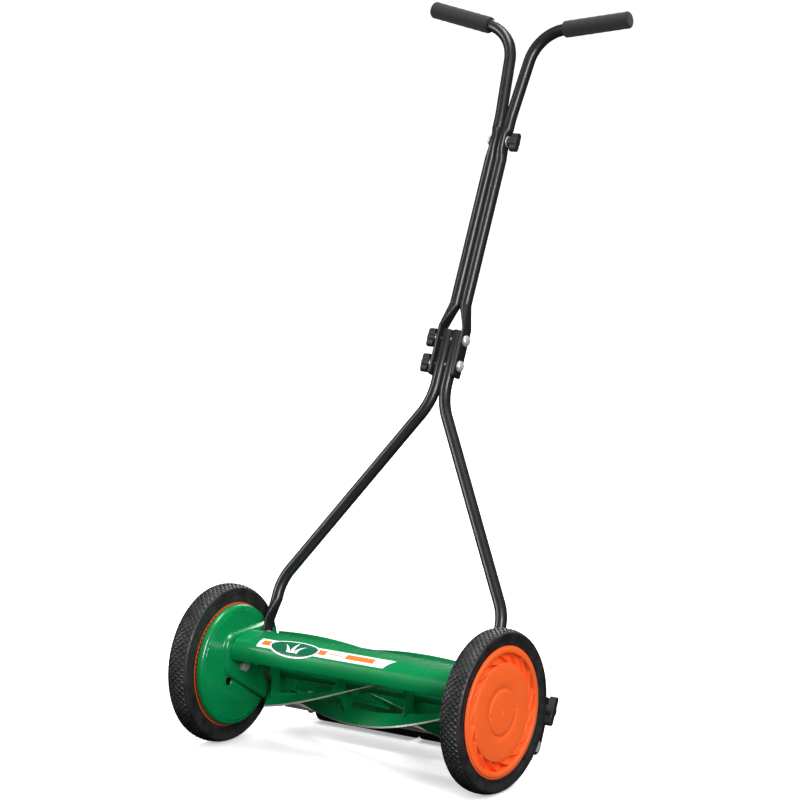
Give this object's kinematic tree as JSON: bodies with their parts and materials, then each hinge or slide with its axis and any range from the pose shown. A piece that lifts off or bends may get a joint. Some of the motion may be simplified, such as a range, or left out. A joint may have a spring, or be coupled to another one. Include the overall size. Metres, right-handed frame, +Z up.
{
  "type": "reel mower",
  "caption": "Hand-pushed reel mower: moulded wheels gear-drive a helical blade reel between side plates, with a rear roller and a bolted tube handle ending in two foam grips.",
  "frame": {"origin": "on the ground, midway between the two wheels and straight under their common axis", "axes": "+X along the wheel axis, to the right as seen from in front; -Y to the mower's front and +Y to its handle; +Z up"},
  "size_m": [0.5488, 0.6349, 1.1486],
  "materials": {
    "green_paint": "gloss",
    "decal": "gloss",
    "zinc_steel": "satin",
    "blade_steel": "ground",
    "orange_plastic": "satin",
    "tyre": "matt",
    "gear_iron": "satin",
    "black_paint": "satin",
    "black_plastic": "satin",
    "foam": "matt foam"
  },
  "bodies": {
    "frame": {"side_plate_left": "green_paint", "side_plate_right": "green_paint", "top_cover": "green_paint", "cover_decal": "decal", "cover_bolts": "zinc_steel", "cutter_bar": "green_paint", "cutter_bar_bolts": "zinc_steel", "bed_knife": "blade_steel", "bed_knife_screws": "zinc_steel", "adjusting_screws": "zinc_steel", "wheel_axle_left": "zinc_steel", "wheel_axle_right": "zinc_steel", "axle_nuts": "zinc_steel", "reel_bearing_left": "zinc_steel", "reel_bearing_right": "zinc_steel", "handle_pivot_bolts": "zinc_steel", "height_bolts": "zinc_steel"},
    "left_wheel": {"wheel_left": "orange_plastic", "tyre_left": "tyre", "hub_cap_left": "orange_plastic"},
    "right_wheel": {"wheel_right": "orange_plastic", "tyre_right": "tyre", "hub_cap_right": "orange_plastic"},
    "reel": {"reel_shaft": "green_paint", "spider_1": "green_paint", "spider_2": "green_paint", "spider_3": "green_paint", "spider_4": "green_paint", "reel_blade_1": "green_paint", "reel_blade_2": "green_paint", "reel_blade_3": "green_paint", "reel_blade_4": "green_paint", "reel_blade_5": "green_paint", "pinion_left": "gear_iron", "pawl_left": "zinc_steel", "pawl_right": "zinc_steel", "shaft_clips": "zinc_steel"},
    "right_pinion": {"pinion_right": "gear_iron"},
    "roller_carrier": {"roller_bracket_left": "black_paint", "roller_bracket_right": "black_paint", "roller_axle": "zinc_steel", "roller_spacers": "black_plastic"},
    "left_roller": {"roller_left": "black_plastic"},
    "right_roller": {"roller_right": "black_plastic"},
    "left_height_knob": {"height_knob_left": "black_plastic"},
    "right_height_knob": {"height_knob_right": "black_plastic"},
    "handle": {"lower_tube_left": "black_paint", "lower_tube_right": "black_paint", "upper_tube_left": "black_paint", "upper_tube_right": "black_paint", "grip_left": "foam", "grip_right": "foam", "lower_joint_bolts": "zinc_steel", "upper_joint_bolt": "zinc_steel", "joint_washers": "zinc_steel"},
    "lower_knob": {"joint_knob_lower": "black_plastic"},
    "middle_knob": {"joint_knob_middle": "black_plastic"},
    "upper_knob": {"joint_knob_upper": "black_plastic"}
  },
  "joints": [
    {"name": "left_wheel_spin", "type": "hinge", "parent": "frame", "child": "left_wheel", "pos_m": [0, 0, 0.127], "axis": [1, 0, 0], "continuous": true},
    {"name": "right_wheel_spin", "type": "hinge", "parent": "frame", "child": "right_wheel", "pos_m": [0, 0, 0.127], "axis": [1, 0, 0], "continuous": true},
    {"name": "reel_spin", "type": "hinge", "parent": "frame", "child": "reel", "pos_m": [0, 0.0745, 0.10564], "axis": [1, 0, 0], "continuous": true},
    {"name": "right_pinion_spin", "type": "hinge", "parent": "frame", "child": "right_pinion", "pos_m": [0, 0.0745, 0.10564], "axis": [1, 0, 0], "continuous": true},
    {"name": "roller_height", "type": "slide", "parent": "frame", "child": "roller_carrier", "axis": [0, 0.4274, 0.9041], "range_m": [-0.006, 0.02]},
    {"name": "left_roller_spin", "type": "hinge", "parent": "roller_carrier", "child": "left_roller", "pos_m": [0, 0.183, 0.022], "axis": [1, 0, 0], "continuous": true},
    {"name": "right_roller_spin", "type": "hinge", "parent": "roller_carrier", "child": "right_roller", "pos_m": [0, 0.183, 0.022], "axis": [1, 0, 0], "continuous": true},
    {"name": "left_height_knob_turn", "type": "hinge", "parent": "frame", "child": "left_height_knob", "pos_m": [0, 0.20804, 0.07498], "axis": [1, 0, 0], "continuous": true},
    {"name": "right_height_knob_turn", "type": "hinge", "parent": "frame", "child": "right_height_knob", "pos_m": [0, 0.20804, 0.07498], "axis": [1, 0, 0], "continuous": true},
    {"name": "handle_pivot", "type": "hinge", "parent": "frame", "child": "handle", "pos_m": [0, 0.0562, 0.165], "axis": [1, 0, 0], "range_deg": [-45, 30]},
    {"name": "lower_knob_turn", "type": "hinge", "parent": "handle", "child": "lower_knob", "pos_m": [0, 0.25126, 0.59701], "axis": [1, 0, 0], "continuous": true},
    {"name": "middle_knob_turn", "type": "hinge", "parent": "handle", "child": "middle_knob", "pos_m": [0, 0.26854, 0.63528], "axis": [1, 0, 0], "continuous": true},
    {"name": "upper_knob_turn", "type": "hinge", "parent": "handle", "child": "upper_knob", "pos_m": [0, 0.40558, 0.93878], "axis": [1, 0, 0], "continuous": true}
  ],
  "couplings": [
    {"joint": "reel_spin", "follows": "left_wheel_spin", "ratio": 5.7692},
    {"joint": "right_pinion_spin", "follows": "right_wheel_spin", "ratio": 5.7692}
  ]
}
